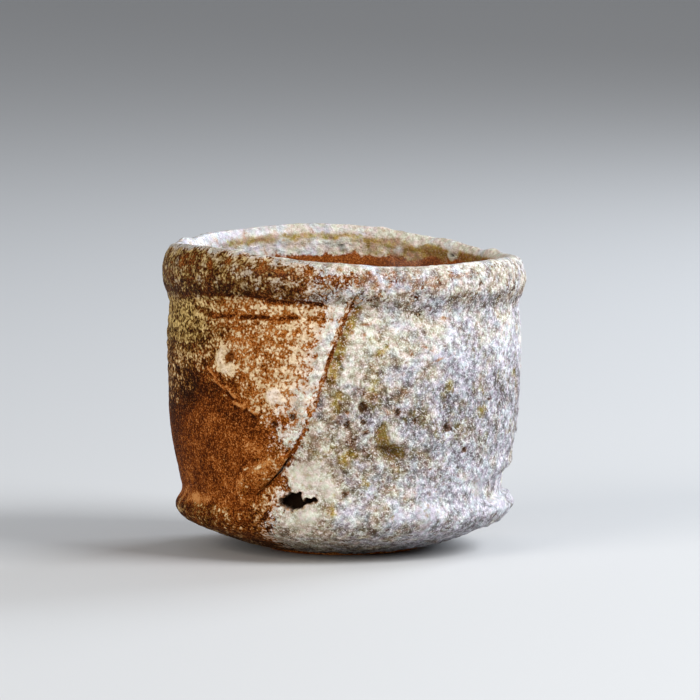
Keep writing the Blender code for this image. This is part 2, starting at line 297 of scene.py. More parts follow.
def bodyZones(angle, height, place):  # the wall and the base share one skin
    broad, mid, fine = waves(place, 5.5), waves(place, 2.2), waves(place, 1.0)
    seamAt = seamAngle(height)
    turn = turnBetween(angle, seamAt)
    fromSeam = turn * arcStep
    leftAngle = angle if angle < seamAt + 20 else angle - 360
    above = height - heightOn(speckleFoot, leftAngle)
    ash, inCrust = ashCover(angle, height, place)
    hue, grey, olive, rust, cream = crustTone(angle, height, place)

    # flecks on the bare clay
    seamSide = hill(fromSeam + 1.6, 3.2 + 3.0 * hill(height - 25.5, 4.5))
    seamSide *= ease(17, 22, height) * (1 - ease(45, 47, height))
    leopard = ease(-122, -152, leftAngle + 7 * mid) * ease(-7.0, 2.0, above + 1.5 * mid)
    smoke = hill(above + 2.0, 5.0) * ease(-112, -150, leftAngle + 8 * broad)
    rows = math.sin(2 * math.pi * (height + 0.6 * broad) / 2.2)
    behind = ease(-145, -180, leftAngle)
    flecked = ease(-5.0 - 5.0 * behind, 3.0, above + 2.0 * mid + 1.5 * behind * broad)
    speck = 0.18 + 0.38 * flecked + 0.035 * rows * (1 + broad) + 0.08 * mid
    if turn < 0:
        paler = ease(-14, -3, fromSeam) * ease(24, 30, height)
        speck += 0.13 * paler
        ash = max(ash, 0.20 * paler)
    speck += leopard * (0.09 * ease(36, 42, height) - 0.03)
    beside = 0.49 + 0.12 * ease(20, 25, height) + 0.10 * mid
    speck = max(speck, beside * hill(fromSeam + 2.0, 5.5) * ease(11, 14, height))
    speck = max(speck, (0.76 + 0.18 * mid) * hill(fromSeam + 1.5, 4.2) * ease(24, 28, height))
    footFlecks = ease(11.4, 8.6, height) * ease(-215, -165, leftAngle)
    onFlange = 0.41 + 0.05 * ease(-130, -140, leftAngle) + 0.18 * mid
    crustEdge = (0.50 + 0.14 * mid) * ease(-9.0, -2.0, inCrust)
    speck = max(speck, onFlange * footFlecks, crustEdge)
    between = (0.71 + 0.16 * mid + 0.08 * fine) * ease(-140, -120, leftAngle)
    speck = max(speck, between * hill(height - 44.7, 1.6))
    speck = max(speck, (0.66 + 0.16 * mid) * hill(height - 42.0, 2.2) * ease(-113, -104, leftAngle))
    speck = max(speck, (0.57 + 0.2 * mid) * ease(-3.0, 2.0, fromSeam) * ease(20, 17, height))

    # warmth of the bare clay, and the crust where it thins out
    # painted shade on the underside near the foot: cooler, darker clay
    paintedUndersideShade = ease(4.0, 2.4, height + 0.5 * mid)
    warm = 0.50 + 0.16 * broad + 0.10 * mid - 0.40 * leopard - 0.15 * smoke - 0.2 * paintedUndersideShade
    # painted orange highlight along the top edge of the flange's left tip
    warm += 0.60 * hill(height - 9.9, 1.2) * hill(turnBetween(angle, -166), 25) * (1 + mid)
    # painted shade darkens the bare clay towards the far left edge; where the foot is flecked its
    # ground is darker too
    warm -= 0.12 * ease(-148, -172, leftAngle) * ease(32, 24, height) + 0.20 * footFlecks
    warm += 0.15 * flecked * (1 - leopard)
    # painted warm highlight patches lighten the clay; the painted shade patches darken it
    paintedGlow = nearPatch(angle, height, place, paintedGlowPatches)
    warm += 0.09 * paintedGlow - 0.13 * nearPatch(angle, height, place, paintedShadePatches)
    straw = 0.12 + leopard * (0.34 + 0.5 * ease(34, 39, height))
    straw += 0.5 * footFlecks * ease(-128, -150, leftAngle)
    hue = max(hue, 0.85 * ease(30, 24, height) * hill(inCrust, 5.0))
    olive *= ash
    rust *= ash
    if turn < 0:
        ash = max(ash, seamSide * (0.50 + 0.36 * mid + 0.16 * fine))
        hue = max(hue, 1.7)
        grey *= 1 - 0.6 * hill(fromSeam, 7.0)
        olive *= 1 - 0.7 * hill(fromSeam, 7.0)

    # glossy flange with a painted pale bluish highlight, and the smooth cream patch by the crack
    gloss = nearPatch(angle, height, place, glossAndHighlightPatches)
    # painted highlight: the glossy patches are made paler and bluer
    grey -= 0.16 * gloss
    hue -= 0.8 * gloss
    smooth = cream * ease(21, 17, height) * ease(-88, -96, angle)
    gloss = max(gloss, (0.5 * cream + 0.45 * smooth) * ease(0.5, 0.95, ash))
    olive = max(olive * (1 - smooth), 0.28 * smooth * ash)
    grey -= 0.30 * smooth
    hue += (1.5 - hue) * smooth
    rust *= 1 - 0.7 * smooth
    darkMarksAndShade = paintedUndersideShade * (0.30 + 0.2 * mid)

    # relief in mm
    rise = ash * crustRise(place) + (1 - ash) * clayRise(place)
    rise += (1 - ash) * speck * 0.22 * (grains(place, 1.1) - 0.4)
    rise += 0.22 * cream * ash
    onRight = hill(turnBetween(angle, -6), 24)
    dip = 0.36 * ease(9.2, 10.4, height) * ease(14.4, 13.4, height)
    rise += onRight * (0.50 * hill(height - 15.4, 0.9) - dip)
    rise += onRight * (0.38 * hill(height - 8.1, 0.75) + 0.55 * hill(height - 9.3, 0.6))
    rise += onRight * 0.30 * hill(height - 8.0, 2.0) * waves(place, 3.4)
    if turn < 0:
        rise += 0.07 * rows * ease(-2, 3, above)

    # the lapped seam: a crack at its foot, a brown groove and a pale ridge above
    if abs(fromSeam) < 8 and height > seam["lowest"]:
        inReach = ease(seam["lowest"], seam["lowest"] + 1.5, height)
        fromCrack = fromSeam - 0.15 + 0.35 * fine
        crevice = hill(fromCrack, seam["creviceWidth"]) * inReach
        lowCrack = ease(19.6, 18.2, height) * ease(11.0, 14.5, height)
        rise -= seam["creviceDepth"] * crevice * (0.5 + 0.5 * lowCrack)
        darkMarksAndShade = max(darkMarksAndShade, 0.95 * crevice * lowCrack)
        groove = hill(fromCrack, 0.34 + 0.3 * max(0.0, mid + 0.2 * broad)) * inReach
        groove *= (0.65 + 0.9 * mid + 0.6 * fine) * (1 - lowCrack)
        groove = clamp(groove) * (1 - 0.6 * hill(height - 27.0, 4.5))
        darkMarksAndShade = max(darkMarksAndShade, 0.34 * groove)
        ash *= 1 - groove
        speck *= 1 - groove
        brown = 0.8 * hill(fromSeam - 0.35 - 0.3 * mid, 0.5)
        rust = max(rust, brown * ease(-0.1, 0.4, mid + fine))
        stained = hill(fromSeam - 1.4, 1.3) * ease(28, 34, height) * (0.9 + 0.6 * mid)
        olive = max(olive, 1.25 * stained)
        rust = max(rust, 0.75 * stained)
        grey += 0.15 * stained
        ridgeWidth = seam["ridgeWidth"] * (1 + 0.5 * mid)
        ridge = hill(fromSeam - seam["ridgeOffset"] + 0.5 * mid, ridgeWidth)
        ridge *= ease(26, 33, height)
        rise += seam["ridgeRise"] * ridge
        ash = max(ash, ridge * (0.95 + 0.4 * fine + 0.3 * mid))
        grey += (-0.20 - grey) * ridge
        hue += (1.2 - hue) * ridge
        rust *= 1 - 0.7 * ridge
        gloss = max(gloss, 0.5 * ridge)
        vein = hill(fromSeam + 2.9 + 0.8 * mid, 0.45) * ease(28, 32, height)
        vein *= ease(42, 39, height)
        rust = max(rust, 0.9 * vein * ease(-0.2, 0.3, fine))

    # scratch, fold, ear-shaped mark and pale round spot
    if -160 < angle < -88 and 10 < height < 40:
        gap, along = pathGap(angle, height, scratch["path"])
        ridge = hill(gap, scratch["width"]) * ease(0.06, 0.2, along)
        ridge *= ease(1.0, 0.9, along)
        ridge *= 0.6 + 0.4 * ease(0.1, 0.6, along)
        rise += scratch["rise"] * ridge
        line = clamp(1.4 * ridge * (0.9 + 0.5 * fine))
        warm += (1.0 - warm) * line
        speck += (0.45 * ease(0.3, 0.6, along) - speck) * line
        gap, along = pathGap(angle, height + scratch["shadeDrop"], scratch["path"])
        shade = hill(gap, scratch["shadeWidth"]) * ease(0.25, 0.55, along)
        shade *= 0.8 + 0.6 * fine
        warm -= 0.34 * shade
        speck *= 1 - min(1.0, 0.8 * shade)
        gap, along = pathGap(angle, height, fold["path"])
        ridge = hill(gap, fold["width"]) * (0.4 + 0.6 * along)
        below = height - heightOn(fold["path"], angle)
        wedge = 0.0
        if -128 < angle < -107 and turn < 0:
            wedge = ease(0.4, -0.3, below) * ease(-5.0, -2.0, below)
        rise += fold["rise"] * max(0.4 * ridge, wedge)
        # painted highlight: the fold's upper edge and the wedge face are lightened as if lit
        warm += 0.44 * ridge
        warm += 0.17 * wedge
        speck = max(speck, (0.15 + 0.65 * along) * ridge, (0.45 + 0.2 * mid) * wedge)
        ash *= 1 - 0.8 * max(ridge, 0.7 * wedge)
        across, up = gapTo(angle, height, earMark["at"])
        ring = hill(math.hypot(across, up * 0.85) - earMark["radius"], earMark["width"])
        bow = ease(0.9, -0.2, math.cos(math.atan2(up, across) - 0.5))
        ring *= bow * (0.85 + 0.5 * fine)
        ring = clamp(1.3 * ring)
        rise += earMark["rise"] * ring
        speck += (1.15 + 0.2 * fine - speck) * ring
        ash = max(ash, 0.20 * ring)
        hue += (2.4 - hue) * ring
        grey += (0.22 - grey) * ring
        straw += (0.15 - straw) * ring
        across, up = gapTo(angle, height, earMark["hollowAt"])
        hollow = hill(math.hypot(across, 0.8 * up), earMark["hollowWidth"])
        rise -= earMark["hollow"] * hollow
        darkMarksAndShade = max(darkMarksAndShade, 0.65 * hollow)
        speck *= 1 - hollow
        across, up = gapTo(angle, height, pearl["at"])
        disc = ease(1.5, 0.5, math.hypot(across, up) / pearl["radius"] + 0.25 * fine)
        rise += pearl["rise"] * disc
        ash = max(ash, 0.38 * disc)
        hue += (2.0 - hue) * disc
        grey += (0.20 - grey) * disc
        straw += (0.1 - straw) * disc
        speck += (0.90 + 0.2 * fine - speck) * disc
        gloss = max(gloss, 0.4 * disc)

    # star-shaped hole with a tail, then the ring-shaped crater round a lump
    across, up = gapTo(angle, height, pit["at"])
    ragged = 0.24 * waves(place, 1.3) + 0.26 * waves(place, 0.6)
    star = 0.10 * math.sin(5 * math.atan2(up, across) + 0.7)
    reach = math.hypot(across / pit["half"][0], up / pit["half"][1]) + ragged + star
    across, up = gapTo(angle, height, pit["tailAt"])
    tail = math.hypot(across / pit["tailHalf"][0], up / pit["tailHalf"][1])
    reach = min(reach, tail + 2.2 * ragged + 0.1)
    rise -= pit["depth"] * ease(1.04, 0.94, reach)
    darkMarksAndShade = max(darkMarksAndShade, ease(1.12, 0.94, reach))
    rust = max(rust, 0.9 * ease(1.55, 1.05, reach))
    warm -= 0.25 * ease(1.4, 1.0, reach)
    across, up = gapTo(angle, height, crater["at"])
    far = math.hypot(across, up) + 0.5 * fine
    ring = hill(far - crater["radius"], crater["width"])
    ring *= ease(-1.0, 2.2, -0.8 * across - 0.6 * up)  # deepest at the lower left
    rise -= crater["depth"] * ring
    olive = max(olive, 1.7 * ring)
    rust += (0.70 - rust) * ring
    grey += (0.20 - grey) * ring
    hue += (1.4 - hue) * ring
    gloss = max(gloss, 0.75 * ring)
    darkMarksAndShade = max(darkMarksAndShade, 0.72 * ring * ease(0.2, -2.4, up))
    lump = hill(far, crater["bumpWidth"])
    rise += crater["bump"] * lump
    grey *= 1 - 0.7 * lump
    olive *= 1 - 0.9 * lump
    rust *= 1 - 0.9 * lump

    # dark pits, brown stains and orange lines
    spots = nearSpot(angle, height, darkPits, 1.25)
    stains = nearSpot(angle, height, brownStains)
    rise -= 0.55 * spots
    rust = max(rust, 1.2 * ease(0.15, 0.6, spots + 0.2 * fine))
    rust = max(rust, 0.9 * ease(0.1, 1.0, stains + 0.3 * fine))
    if -85 < angle < -45 and 33 < height < 44:
        gap = min(pathGap(angle, height, line)[0] for line in orangeLines)
        rust = max(rust, 0.9 * hill(gap, 0.35))
    darkMarksAndShade = max(darkMarksAndShade, 0.85 * ease(0.30, 0.75, spots + 0.35 * fine))
    gloss *= 1 - min(1.0, darkMarksAndShade)
    return {"ash": ash, "warm": warm, "straw": straw, "hue": hue, "grey": grey, "olive": olive,
            "rust": rust, "speck": speck, "darkMarksAndShade": darkMarksAndShade, "gloss": gloss, "rise": rise}


def collarZones(angle, height, place):
    broad, mid, fine = waves(place, 5.0), waves(place, 2.0), waves(place, 0.95)
    foot, rim = ringHeight(collarFeet, angle), ringHeight(rimHeights, angle)
    level = (height - foot) / (rim - foot) + 0.05 * mid
    fromSeam = turnBetween(angle, seamAngle(height)) * arcStep
    onRight = ease(-110, -78, angle + 8 * broad) * (1 - ease(35, 75, angle))
    nearSeam = hill(turnBetween(angle, -98), 24)
    lip = ease(0.88, 0.99, level)
    # painted shade along the lower part of the collar
    paintedUnderShade = hill(level - 0.20, 0.13) * (0.75 + 0.5 * mid) * (1 - 0.3 * onRight)
    band = hill(level - 0.71, 0.10) * ease(0.0, 0.40, waves(place, 2.6))
    spot = nearSpot(angle, height, rustSpots)
    rusty = hill(turnBetween(angle, -76), 26) * hill(level - 0.62, 0.28) * (1.05 + 0.8 * mid)
    rust = max(band * (1 - 0.5 * ease(-55, -30, angle)), spot, rusty)
    ash = 0.10 + 0.68 * onRight + (0.30 - 0.14 * onRight) * mid + 0.10 * fine
    ash -= 0.12 * rust * (1 - onRight)
    ash += 0.45 * lip
    ash += 0.20 * nearSeam * (1 - onRight) - 0.12 * paintedUnderShade
    ash += 0.15 * hill(fromSeam + 3.5, 4.0) * ease(0.6, 0.3, level)
    warm = 0.27 + 0.12 * broad + 0.42 * rust - 0.08 * paintedUnderShade + 0.14 * onRight
    straw = 0.90 - 0.50 * hill(turnBetween(angle, -85), 36)
    straw -= 0.32 * ease(0.0, 0.5, waves(place, 3.3))
    grey = 0.36 - 0.10 * onRight + 0.14 * mid + 0.10 * fine
    grey += (0.30 + 0.50 * onRight) * paintedUnderShade
    grey -= 0.15 * lip
    hue = 0.85 - 0.10 * onRight + 0.4 * mid
    speck = 0.55 + 0.10 * fine + 0.14 * mid + 0.08 * nearSeam - 0.20 * rust - 0.14 * paintedUnderShade
    speck += 0.12 * hill(level - 0.90, 0.12)
    # the collar's left side is darkened, its own darker clay and painted shade away from the
    # window; the under part gets more painted shade
    darkMarksAndShade = (0.26 + 0.12 * mid) * (1 - onRight) * (1 - 0.7 * lip)
    darkMarksAndShade += 0.22 * paintedUnderShade * (0.6 + 0.8 * mid)
    crevice = hill(fromSeam + 0.5 * fine, 0.45) * ease(0.80, 0.55, level)
    line = crevice * ease(-0.30, 0.30, mid + 0.6 * fine)
    darkMarksAndShade = max(darkMarksAndShade, 0.16 * line)
    rust = max(0.85 * rust, 0.9 * line, 0.45 * paintedUnderShade * (1 - 0.5 * onRight))
    return {"ash": ash, "warm": warm, "straw": straw, "hue": hue, "grey": grey,
            "olive": max(0.25 * paintedUnderShade, line), "rust": rust, "speck": speck, "darkMarksAndShade": darkMarksAndShade,
            "gloss": max(0.08 + 0.2 * onRight, 0.6 * lip),
            "rise": 0.6 * crustRise(place) - 0.22 * crevice}


def skinZones(angle, height, place):  # the whole outer skin, without a break at the joints
    foot = ringHeight(collarFeet, angle)
    share = ease(foot - 0.6, foot + 0.8, height)
    found = bodyZones(angle, height, place) if share < 1 else collarZones(angle, height, place)
    if 0 < share < 1:
        above = collarZones(angle, height, place)
        found = {zone: value + share * (above[zone] - value) for zone, value in found.items()}
    # painted shade in the crease just under the collar foot on the right
    crease = hill(height - foot + 0.2, 0.8) * ease(-90, -74, angle)
    crease *= ease(70, 30, angle)
    found["grey"] += 0.70 * crease * (0.8 + 0.8 * waves(place, 2.2))
    if 40 < height < 49:
        for line in scoredLines:
            gap, along = pathGap(angle, height, line["path"])
            cut = hill(gap, line["width"]) * ease(-152, -126, angle)
            cut *= ease(1.0, 0.92, along)
            found["rise"] -= line["depth"] * cut
            bare = clamp(cut * line["dark"] * (1.4 + 0.8 * waves(place, 2.2)))
            found["ash"] *= 1 - bare
            found["speck"] *= 1 - bare
            found["warm"] += (0.16 - found["warm"]) * bare
    return found


def innerZones(angle, height, place):
    broad, mid, fine = waves(place, 5.0), waves(place, 2.1), waves(place, 1.0)
    fromRim = ringHeight(rimHeights, angle) - height
    brownLine = ease(0.7, 1.8, fromRim + 0.4 * mid)
    brownLine *= ease(3.6, 2.2, fromRim + 0.7 * mid)
    brownLine *= 1.0 + 0.4 * broad
    narrower = 2.3 * ease(95, 40, abs(angle))
    mottle = ease(6.8, 3.8, fromRim + 1.2 * mid + 0.3 * fine + narrower)
    # painted reflection of the window: pale bluish-white on the inner left wall
    paintedReflection = hill(turnBetween(angle, 160), 38) * ease(10.0, 6.0, fromRim)
    ash = max((0.95 + 0.25 * mid) * mottle, 0.95 * paintedReflection)
    beads = mottle * ease(2.2, 3.2, fromRim) * ease(0.62, 0.80, grains(place, 2.4))
    pinhole = 0.0
    for at, below in innerBeads:
        gap = math.hypot(turnBetween(angle, at) * innerArcStep, fromRim - below)
        beads = max(beads, ease(1.5, 0.9, gap))
        pinhole = max(pinhole, ease(0.55, 0.25, gap))
    deep = ease(8.0, 24.0, fromRim)
    toLeft = ease(25, 130, abs(turnBetween(angle, 0)))
    ochre = (1 - toLeft) * ease(0.4, 1.8, fromRim) * (1.3 + 0.4 * mid)
    hue = 1.10 - 0.20 * toLeft + 0.5 * mid - 0.80 * paintedReflection - 0.3 * beads
    rise = 0.10 * waves(place, 2.5) + 0.32 * beads - 0.5 * pinhole
    satin = max(0.62, 0.75 * ease(9.0, 7.0, fromRim))
    return {"ash": max(ash, beads), "warm": 0.60 + 0.12 * broad - 0.14 * deep, "straw": 0.3,
            "hue": hue, "grey": 0.14 * min(1.0, ochre),
            "olive": max(0.72 * brownLine, ochre) * (1 - beads),
            "rust": max(0.62 * brownLine * toLeft, 0.8 * ochre, 0.3 + 0.3 * mid) * (1 - beads),
            "speck": 0.0, "darkMarksAndShade": pinhole, "gloss": satin, "rise": rise}


def footZones(angle, height, place):
    return {"ash": 0.0, "warm": 0.70 + 0.2 * waves(place, 5.0), "straw": 0.2, "hue": 0.5,
            "grey": 0.2, "olive": 0.0, "rust": 0.0, "speck": 0.15, "darkMarksAndShade": 0.0, "gloss": 0.0,
            "rise": clayRise(place)}


# The members are luted: the outer skin flows over the joints at the waist and under the collar
softBands = (
    {"low": 4.6, "high": 15.0, "fade": 1.8, "blur": 0.7,
     "softAngle": -100, "softWidth": 48, "softBlur": 1.2},
    {"low": 40.0, "high": 50.0, "fade": 1.8, "blur": 1.0,
     "softAngle": -125, "softWidth": 42, "softBlur": 0.9},
)
skinTable = {"turns": 180, "lowest": 1.0, "step": 0.25, "rows": 220, "farOut": 60}


def outerRadii(turn):  # radius of the solids' outer skin up one line, in mm
    angle = math.radians(turn * 360 / skinTable["turns"])
    outward = Vector((math.cos(angle), math.sin(angle), 0))
    column = []
    for row in range(skinTable["rows"]):
        height = skinTable["lowest"] + row * skinTable["step"]
        start = outward * skinTable["farOut"] * mm + Vector((0, 0, height * mm))
        radius = 0.0
        for tree in trees.values():
            spot = tree.ray_cast(start, -outward, skinTable["farOut"] * mm)[0]
            if spot is not None:
                radius = max(radius, spot.xy.length / mm)
        column.append(radius)
    wide = [max(column[max(0, i - 2):i + 3]) for i in range(len(column))]
    return [min(wide[max(0, i - 2):i + 3]) for i in range(len(wide))]  # bridges the joint gaps


def blurred(column, blur):
    reach = int(3 * blur / skinTable["step"])
    weights = [hill(step * skinTable["step"], 1.4 * blur) for step in range(-reach, reach + 1)]
    result = []
    for i in range(len(column)):
        picked = [(weight, column[min(len(column) - 1, max(0, i + step))])
                  for step, weight in zip(range(-reach, reach + 1), weights)]
        result.append(sum(weight * radius for weight, radius in picked) / sum(weights))
    return result


def softRadii():  # radius of the softened outer skin in mm, and how far it replaces the solids' own
    table = []
    for turn in range(skinTable["turns"]):
        column = outerRadii(turn)
        angle = turn * 360 / skinTable["turns"]
        rows = []
        softened = []
        for band in softBands:
            near = hill(turnBetween(angle, band["softAngle"]), band["softWidth"])
            softened.append(blurred(column, band["blur"] + near * band["softBlur"]))
        for row, radius in enumerate(column):
            height = skinTable["lowest"] + row * skinTable["step"]
            shares = [ease(band["low"], band["low"] + band["fade"], height)
                      * ease(band["high"], band["high"] - band["fade"], height)
                      for band in softBands]
            soft = [share * smooth[row] for share, smooth in zip(shares, softened)]
            rows.append((sum(soft) / sum(shares) if sum(shares) else radius, sum(shares)))
        table.append(rows)
    return table


def softRadius(table, angle, height):
    across = angle / 360 * skinTable["turns"]
    up = max(0.0, (height - skinTable["lowest"]) / skinTable["step"])
    up = min(skinTable["rows"] - 1.001, up)
    left, low = math.floor(across), int(up)
    here, there = table[left % skinTable["turns"]], table[(left + 1) % skinTable["turns"]]
    found = []
    for part in (0, 1):
        a = here[low][part] + (here[low + 1][part] - here[low][part]) * (up - low)
        b = there[low][part] + (there[low + 1][part] - there[low][part]) * (up - low)
        found.append(a + (b - a) * (across - left))
    return found


# Dense copies of the clay members
jointReach = 0.6 * mm
jointFacing = 0.8  # cosine between a joint face's normal and the way to its neighbour
jointPress = 0.66
mergeGap = 0.001 * mm
sharpCorner = math.radians(38)
floorRadius = 27 * mm
meshing = {"rounds": 4, "shortest": 0.22, "behind": 1.5, "inside": 2.0}
sharpMarks = ((pit["at"], 3.0), (pit["tailAt"], 2.0), (earMark["at"], 2.6), (pearl["at"], 2.0),
              (crater["at"], 3.0))


def solidTree(name):
    form = bmesh.new()
    form.from_mesh(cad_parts[name].data)
    tree = BVHTree.FromBMesh(form)
    form.free()
    return tree


trees = {name: solidTree(name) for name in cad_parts}
softSkin = softRadii()
print("outer skin read:", len(softSkin), "lines")


def nearestOther(name, place):  # the nearest point of another member, if one is in reach
    nearest, reach = None, jointReach
    for other, tree in trees.items():
        if other != name:
            spot, normal, index, gap = tree.find_nearest(place, reach)
            if spot is not None and gap < reach:
                nearest, reach = spot, gap
    return nearest


def markJoints(form, name):  # a face that looks straight at a neighbour is a hidden joint face
    hidden = form.faces.layers.int.new("joint")
    for face in form.faces:
        centre = face.calc_center_median()
        spot = nearestOther(name, centre)
        if spot is not None and (spot - centre).normalized().dot(face.normal) > jointFacing:
            face[hidden] = 1
    return hidden


# Merged, turned back to quads, and rounded by two subdivisions with its corners kept
def denseCopy(name):
    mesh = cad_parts[name].data.copy()
    mesh.attributes.remove(mesh.attributes["custom_normal"])
    mesh.materials.clear()
    form = bmesh.new()
    form.from_mesh(mesh)
    bmesh.ops.remove_doubles(form, verts=form.verts, dist=mergeGap)
    bmesh.ops.join_triangles(form, faces=form.faces, angle_face_threshold=math.pi,
                             angle_shape_threshold=math.pi)
    hidden = markJoints(form, name)
    crease = form.edges.layers.float.new("crease_edge")
    for edge in form.edges:
        edge.smooth = True
        jointEdge = len({face[hidden] for face in edge.link_faces}) > 1
        if jointEdge or edge.calc_face_angle(0.0) > sharpCorner:
            edge[crease] = 1.0
    form.faces.layers.int.remove(hidden)
    form.to_mesh(mesh)
    form.free()
    helper = bpy.data.objects.new(name + "_helper", mesh)
    bpy.context.scene.collection.objects.link(helper)
    rounder = helper.modifiers.new("rounder", "SUBSURF")
    rounder.levels = rounder.render_levels = 2
    evaluated = helper.evaluated_get(bpy.context.evaluated_depsgraph_get())
    form = bmesh.new()
    form.from_mesh(evaluated.to_mesh())
    evaluated.to_mesh_clear()
    bpy.data.objects.remove(helper)
    bpy.data.meshes.remove(mesh)
    return form


def closeJoints(form, name, hidden):  # the luted faces press into each other a little
    for vertex in form.verts:
        if any(face[hidden] for face in vertex.link_faces):
            spot = nearestOther(name, vertex.co)
            if spot is not None:
                vertex.co = vertex.co.lerp(spot, jointPress)


def skinNormal(vertex, hidden):
    outward = Vector((0, 0, 0))
    for face in vertex.link_faces:
        if not face[hidden]:
            outward += face.normal * face.calc_area()
    return outward.normalized() if outward.length > 0 else None


def angleOf(place):
    return math.degrees(math.atan2(place.y, place.x))


def isFine(place):  # places with small sharp marks get a finer mesh
    angle, height = angleOf(place), place.z / mm
    if not -150 < angle < -60 or height > 48:
        return False
    if height > seam["lowest"] and abs(turnBetween(angle, seamAngle(height))) * arcStep < 1.0:
        return True
    for at, reach in sharpMarks:
        if math.hypot(*gapTo(angle, height, at)) < reach:
            return True
    return pathGap(angle, height, scratch["path"])[0] < 0.6


def refine(form, look, hidden):  # halve the long edges of the visible skin
    for step in range(meshing["rounds"]):
        longEdges = []
        for edge in form.edges:
            faces = [face for face in edge.link_faces if not face[hidden]]
            length = edge.calc_length()
            if not faces or length < meshing["shortest"] * mm:
                continue
            most = look["edge"] * mm * (1.0 if edge.verts[0].co.y < 0 else meshing["behind"])
            if all(look["isInner"](face) for face in faces):
                most *= meshing["inside"]
            if length > most or (look["fineMarks"] and isFine(edge.verts[0].co)):
                longEdges.append(edge)
        if not longEdges:
            break
        bmesh.ops.subdivide_edges(form, edges=longEdges, cuts=1, use_grid_fill=True)


def wallInner(face):
    middle = face.calc_center_median()
    return face.normal.x * middle.x + face.normal.y * middle.y < 0


def baseInner(face):
    return face.normal.z > 0.6 and face.calc_center_median().xy.length < floorRadius


def noFace(face):
    return False


def softenSkin(form, look, hidden):
    for vertex in form.verts:
        faces = [face for face in vertex.link_faces if not face[hidden]]
        if faces and not any(look["isInner"](face) for face in faces):
            radius, share = softRadius(softSkin, angleOf(vertex.co), vertex.co.z / mm)
            scale = 1 + share * (radius * mm / vertex.co.xy.length - 1)
            vertex.co.x *= scale
            vertex.co.y *= scale


def touchLip(form):
    for vertex in form.verts:
        angle = angleOf(vertex.co)
        foot, rim = ringHeight(collarFeet, angle), ringHeight(rimHeights, angle)
        share = ease(0.72, 0.98, (vertex.co.z / mm - foot) / (rim - foot))
        vertex.co.z += share * lipLift(angle) * mm


def dressPiece(look):
    node = look["node"]
    form = denseCopy(node)
    hidden = markJoints(form, node)
    refine(form, look, hidden)
    closeJoints(form, node, hidden)
    if node == "rim_collar":
        touchLip(form)
    form.normal_update()
    if look["softened"]:
        softenSkin(form, look, hidden)
        form.normal_update()
    layers = {zone: form.verts.layers.float.new(zone) for zone in zoneNames}
    moves = []
    for vertex in form.verts:
        normal = skinNormal(vertex, hidden)
        if normal is None:
            continue
        zones = look["outer"]
        shown = [face for face in vertex.link_faces if not face[hidden]]
        if look["inner"] and any(look["isInner"](face) for face in shown):
            zones = look["inner"]
        found = zones(angleOf(vertex.co), vertex.co.z / mm, vertex.co)
        for zone in zoneNames:
            vertex[layers[zone]] = min(zoneMost, max(zoneFloors.get(zone, 0.0), found[zone]))
        moves.append((vertex, normal * found["rise"] * mm))
    for vertex, move in moves:
        vertex.co += move
    for edge in form.edges:
        edge.smooth = len({face[hidden] for face in edge.link_faces}) < 2
    for face in form.faces:
        face.smooth = True
    form.normal_update()
    mesh = bpy.data.meshes.new(look["name"])
    form.to_mesh(mesh)
    form.free()
    piece = bpy.data.objects.new(look["name"], mesh)
    bpy.context.scene.collection.objects.link(piece)
    piece.data.materials.append(firedMaterial(look))
    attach(piece, "root")
    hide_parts(node)
    triangles = sum(len(face.vertices) - 2 for face in mesh.polygons)
    print("piece", look["name"], triangles, "triangles")


# Shader helpers
def add(tree, kind, inputs=None, **settings):
    node = tree.nodes.new(kind)
    for key, value in settings.items():
        setattr(node, key, value)
    for key, value in (inputs or {}).items():
        if isinstance(value, bpy.types.NodeSocket):
            tree.links.new(value, node.inputs[key])
        else:
            node.inputs[key].default_value = value
    return node


# All the clay shares one group, and the helpers below add their nodes to it
firedClay = bpy.data.node_groups.new("firedClay", "ShaderNodeTree")


def math2(operation, a, b):
    return add(firedClay, "ShaderNodeMath", {0: a, 1: b}, operation=operation).outputs[0]


def times(a, b):
    return math2("MULTIPLY", a, b)


def fade(value, low, high, start=0.0, end=1.0):
    inputs = {"Value": value, "From Min": low, "From Max": high, "To Min": start, "To Max": end}
    node = add(firedClay, "ShaderNodeMapRange", inputs, interpolation_type="SMOOTHSTEP")
    return node.outputs["Result"]


def mixColour(factor, a, b, blend="MIX"):
    inputs = {0: factor, 6: a, 7: b}
    node = add(firedClay, "ShaderNodeMix", inputs, data_type="RGBA", blend_type=blend)
    return node.outputs[2]


def ramp(value, stops):
    node = add(firedClay, "ShaderNodeValToRGB", {"Fac": value})
    points = node.color_ramp.elements
    while len(points) < len(stops):
        points.new(0.5)
    for point, (place, colour) in zip(points, stops):
        point.position = place
        point.color = (*colour, 1.0)
    return node.outputs["Color"]


def cloud(vector, size, detail, rough):
    inputs = {"Vector": vector, "Scale": 1 / (size * mm), "Detail": detail, "Roughness": rough}
    return add(firedClay, "ShaderNodeTexNoise", inputs).outputs["Fac"]


def about(value, strength):  # the noise's swing about its middle
    return times(math2("SUBTRACT", value, 0.5), strength)


def total(*values):
    result = values[0]
    for value in values[1:]:
        result = math2("ADD", result, value)
    return result


